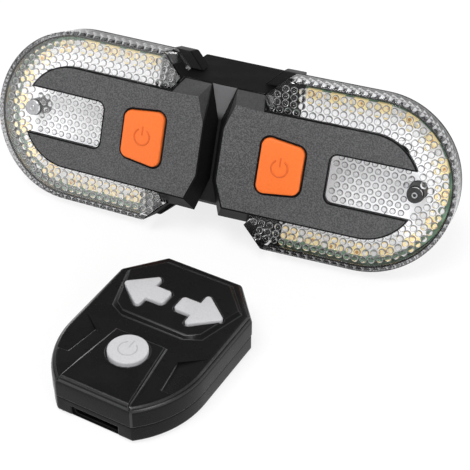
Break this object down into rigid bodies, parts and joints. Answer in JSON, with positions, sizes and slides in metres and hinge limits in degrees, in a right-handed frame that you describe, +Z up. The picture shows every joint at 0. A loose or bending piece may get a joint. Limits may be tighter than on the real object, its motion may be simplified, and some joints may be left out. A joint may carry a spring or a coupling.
{
  "type": "bicycle turn signal light",
  "caption": "Bicycle turn signal light: swept clear-lens lamp pods with amber lamps and orange buttons on a seat-post saddle block, with a wireless handlebar remote.",
  "frame": {"origin": "on the floor, at the middle of the box round the light and its remote", "axes": "+X along the light to the viewer's right, +Y away from the viewer, +Z up"},
  "size_m": [0.1298, 0.119, 0.0468],
  "materials": {
    "black_plastic": "satin",
    "dark_plastic": "matte",
    "panel_plastic": "fine spark texture",
    "clear_plastic": "clear, with moulded pillow optics",
    "white_plastic": "gloss",
    "green_board": "solder mask",
    "amber_lamp": "gloss",
    "orange_rubber": "matte silicone",
    "foil": "satin",
    "steel": "plated",
    "pale_silicone": "matte silicone",
    "black_steel": "black oxide",
    "black_rubber": "matte",
    "remote_plastic": "satin",
    "grey_rubber": "matte silicone"
  },
  "bodies": {
    "light": {"mount_block": "black_plastic", "saddle_pad": "black_rubber", "block_screws": "steel", "left_rear_housing": "black_plastic", "left_seal": "pale_silicone", "left_front_panel": "panel_plastic", "left_lens": "clear_plastic", "left_reflector": "white_plastic", "left_led_board": "green_board", "left_leds": "amber_lamp", "left_control_board": "green_board", "left_power_switch": "dark_plastic", "left_battery": "foil", "left_charge_socket": "steel", "left_screws": "black_steel", "right_rear_housing": "black_plastic", "right_seal": "pale_silicone", "right_front_panel": "panel_plastic", "right_lens": "clear_plastic", "right_reflector": "white_plastic", "right_led_board": "green_board", "right_leds": "amber_lamp", "right_control_board": "green_board", "right_power_switch": "dark_plastic", "right_battery": "foil", "right_charge_socket": "steel", "right_screws": "black_steel"},
    "left_button": {"left_power_button": "orange_rubber"},
    "right_button": {"right_power_button": "orange_rubber"},
    "left_cover": {"left_port_cover": "black_rubber"},
    "right_cover": {"right_port_cover": "black_rubber"},
    "remote": {"remote_base": "remote_plastic", "remote_top_shell": "remote_plastic", "remote_board": "green_board", "remote_domes": "steel", "remote_coin_cell": "steel", "remote_cell_clip": "steel", "remote_screws": "steel"},
    "remote_left_key": {"remote_left_button": "grey_rubber"},
    "remote_right_key": {"remote_right_button": "grey_rubber"},
    "remote_mode_key": {"remote_mode_button": "grey_rubber"}
  },
  "joints": [
    {"name": "left_button_press", "type": "slide", "parent": "light", "child": "left_button", "axis": [0.061, 0.9118, -0.406], "range_m": [0, 0.0008], "stiffness_N_per_m": 1500},
    {"name": "right_button_press", "type": "slide", "parent": "light", "child": "right_button", "axis": [-0.061, 0.9118, -0.406], "range_m": [0, 0.0008], "stiffness_N_per_m": 1500},
    {"name": "left_cover_hinge", "type": "hinge", "parent": "light", "child": "left_cover", "pos_m": [-0.0277, 0.03799, 0.0186], "axis": [0, 0.4067, 0.9135], "range_deg": [0, 110]},
    {"name": "right_cover_hinge", "type": "hinge", "parent": "light", "child": "right_cover", "pos_m": [0.0277, 0.03799, 0.0186], "axis": [0, -0.4067, -0.9135], "range_deg": [0, 110]},
    {"name": "remote_lift", "type": "slide", "parent": "light", "child": "remote", "axis": [0, 0, 1], "range_m": [0, 0.1]},
    {"name": "remote_left_press", "type": "slide", "parent": "remote", "child": "remote_left_key", "axis": [0, 0, -1], "range_m": [0, 0.0005], "stiffness_N_per_m": 1500},
    {"name": "remote_right_press", "type": "slide", "parent": "remote", "child": "remote_right_key", "axis": [0, 0, -1], "range_m": [0, 0.0005], "stiffness_N_per_m": 1500},
    {"name": "remote_mode_press", "type": "slide", "parent": "remote", "child": "remote_mode_key", "axis": [0, 0, -1], "range_m": [0, 0.0005], "stiffness_N_per_m": 1500}
  ]
}
